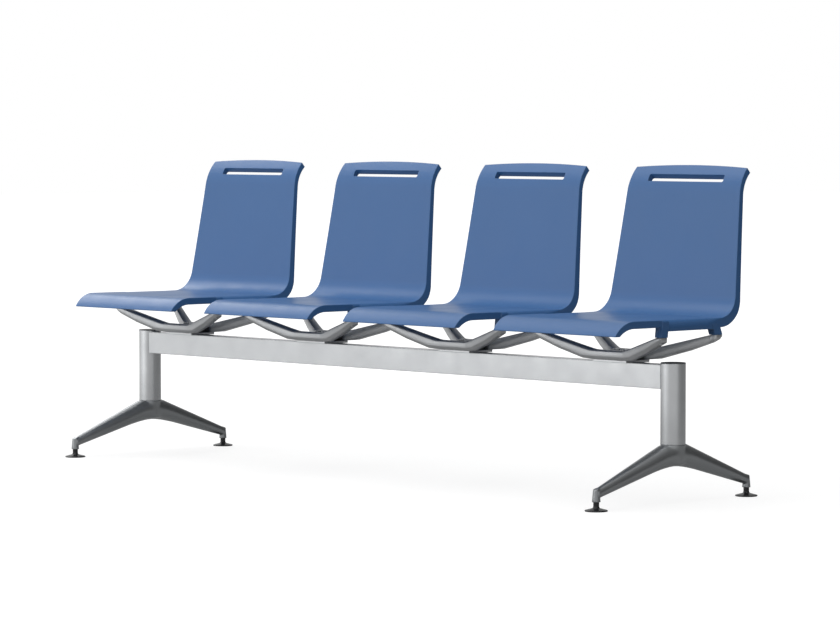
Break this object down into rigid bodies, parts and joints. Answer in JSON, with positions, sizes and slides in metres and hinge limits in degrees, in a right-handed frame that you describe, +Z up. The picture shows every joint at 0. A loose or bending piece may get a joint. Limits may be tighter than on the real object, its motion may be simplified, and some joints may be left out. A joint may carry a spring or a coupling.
{
  "type": "beam seating",
  "caption": "Waiting-room beam seating: one-piece blue seat shells with hand slots on cast arms, carried by a beam between columns with arched levelling feet.",
  "frame": {"origin": "on the floor, midway between the two columns", "axes": "+X along the beam to the seats' left hand side as seen from the front, +Y to the back of the seats, +Z up"},
  "size_m": [2.0456, 0.5796, 0.8028],
  "materials": {
    "blue_shell": "satin moulded plastic with a fine grain",
    "cast_aluminium": "satin painted casting",
    "silver_tube": "satin silver",
    "dark_cap": "matt black",
    "black_glide": "glossy black",
    "black_block": "matt black",
    "zinc_steel": "zinc plated"
  },
  "bodies": {
    "frame": {"beam": "silver_tube", "rivet_nuts": "zinc_steel", "column_left": "silver_tube", "column_cap_left": "dark_cap", "column_nut_plate_left": "zinc_steel", "foot_left": "cast_aluminium", "foot_bolt_left": "zinc_steel", "column_right": "silver_tube", "column_cap_right": "dark_cap", "column_nut_plate_right": "zinc_steel", "foot_right": "cast_aluminium", "foot_bolt_right": "zinc_steel", "seat_shell_1": "blue_shell", "spider_1": "cast_aluminium", "saddle_plate_1": "silver_tube", "spacer_block_1": "black_block", "hub_bolts_1": "zinc_steel", "seat_screws_1": "zinc_steel", "seat_inserts_1": "zinc_steel", "seat_shell_2": "blue_shell", "spider_2": "cast_aluminium", "saddle_plate_2": "silver_tube", "spacer_block_2": "black_block", "hub_bolts_2": "zinc_steel", "seat_screws_2": "zinc_steel", "seat_inserts_2": "zinc_steel", "seat_shell_3": "blue_shell", "spider_3": "cast_aluminium", "saddle_plate_3": "silver_tube", "spacer_block_3": "black_block", "hub_bolts_3": "zinc_steel", "seat_screws_3": "zinc_steel", "seat_inserts_3": "zinc_steel", "seat_shell_4": "blue_shell", "spider_4": "cast_aluminium", "saddle_plate_4": "silver_tube", "spacer_block_4": "black_block", "hub_bolts_4": "zinc_steel", "seat_screws_4": "zinc_steel", "seat_inserts_4": "zinc_steel"},
    "glide_front_left": {"glide_pad_front_left": "black_glide", "glide_stem_front_left": "zinc_steel"},
    "glide_rear_left": {"glide_pad_rear_left": "black_glide", "glide_stem_rear_left": "zinc_steel"},
    "glide_front_right": {"glide_pad_front_right": "black_glide", "glide_stem_front_right": "zinc_steel"},
    "glide_rear_right": {"glide_pad_rear_right": "black_glide", "glide_stem_rear_right": "zinc_steel"}
  },
  "joints": [
    {"name": "glide_front_left_levelling", "type": "slide", "parent": "frame", "child": "glide_front_left", "axis": [0, 0, -1], "range_m": [0, 0.015]},
    {"name": "glide_rear_left_levelling", "type": "slide", "parent": "frame", "child": "glide_rear_left", "axis": [0, 0, -1], "range_m": [0, 0.015]},
    {"name": "glide_front_right_levelling", "type": "slide", "parent": "frame", "child": "glide_front_right", "axis": [0, 0, -1], "range_m": [0, 0.015]},
    {"name": "glide_rear_right_levelling", "type": "slide", "parent": "frame", "child": "glide_rear_right", "axis": [0, 0, -1], "range_m": [0, 0.015]}
  ]
}
